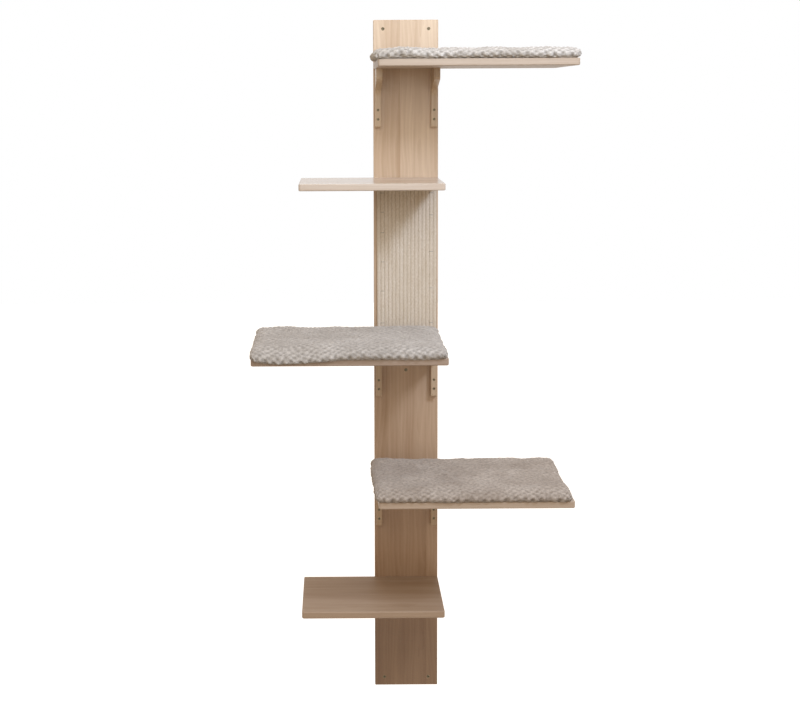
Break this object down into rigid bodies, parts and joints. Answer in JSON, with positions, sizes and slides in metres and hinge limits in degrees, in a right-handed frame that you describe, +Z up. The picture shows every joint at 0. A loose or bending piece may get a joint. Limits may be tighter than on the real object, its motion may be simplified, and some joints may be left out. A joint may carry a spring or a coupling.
{
  "type": "wall mounted cat tree",
  "caption": "Tall wall-mounted wooden climbing tree for cats: narrow backboard, shelves standing out to left and right on sawn brackets, ribbed sisal mat, loose plush cushions.",
  "frame": {"origin": "middle of the backboard's back face, which lies on the wall; it is also the middle of the four corner wall holes", "axes": "+X to the right as seen from the room, +Y into the wall, +Z up along the backboard"},
  "size_m": [0.8225, 0.37, 1.87],
  "materials": {
    "board_wood": "satin",
    "shelf_wood": "satin",
    "bracket_wood": "satin",
    "screw_steel": "satin",
    "staple_steel": "satin",
    "sisal": "matte",
    "plush": "matte",
    "hook_tape": "matte"
  },
  "bodies": {
    "tree": {"backboard": "board_wood", "shelf_top": "shelf_wood", "shelf_second": "shelf_wood", "shelf_third": "shelf_wood", "shelf_fourth": "shelf_wood", "shelf_fifth": "shelf_wood", "bracket_top_left": "bracket_wood", "bracket_top_right": "bracket_wood", "bracket_third_left": "bracket_wood", "bracket_third_right": "bracket_wood", "bracket_fourth_left": "bracket_wood", "bracket_fourth_right": "bracket_wood", "leg_screws_top": "screw_steel", "leg_screws_third": "screw_steel", "leg_screws_fourth": "screw_steel", "arm_screws_top": "screw_steel", "arm_screws_third": "screw_steel", "arm_screws_fourth": "screw_steel", "rear_screws": "screw_steel", "sisal_mat": "sisal", "mat_staples": "staple_steel", "hook_strips_top": "hook_tape", "hook_strips_third": "hook_tape", "hook_strips_fourth": "hook_tape"},
    "loose_cushion_top": {"cushion_top": "plush", "loop_strips_top": "hook_tape"},
    "loose_cushion_third": {"cushion_third": "plush", "loop_strips_third": "hook_tape"},
    "loose_cushion_fourth": {"cushion_fourth": "plush", "loop_strips_fourth": "hook_tape"}
  },
  "joints": [
    {"name": "cushion_top_lift", "type": "slide", "parent": "tree", "child": "loose_cushion_top", "axis": [0, 0, 1], "range_m": [0, 0.08]},
    {"name": "cushion_third_lift", "type": "slide", "parent": "tree", "child": "loose_cushion_third", "axis": [0, 0, 1], "range_m": [0, 0.08]},
    {"name": "cushion_fourth_lift", "type": "slide", "parent": "tree", "child": "loose_cushion_fourth", "axis": [0, 0, 1], "range_m": [0, 0.08]}
  ]
}
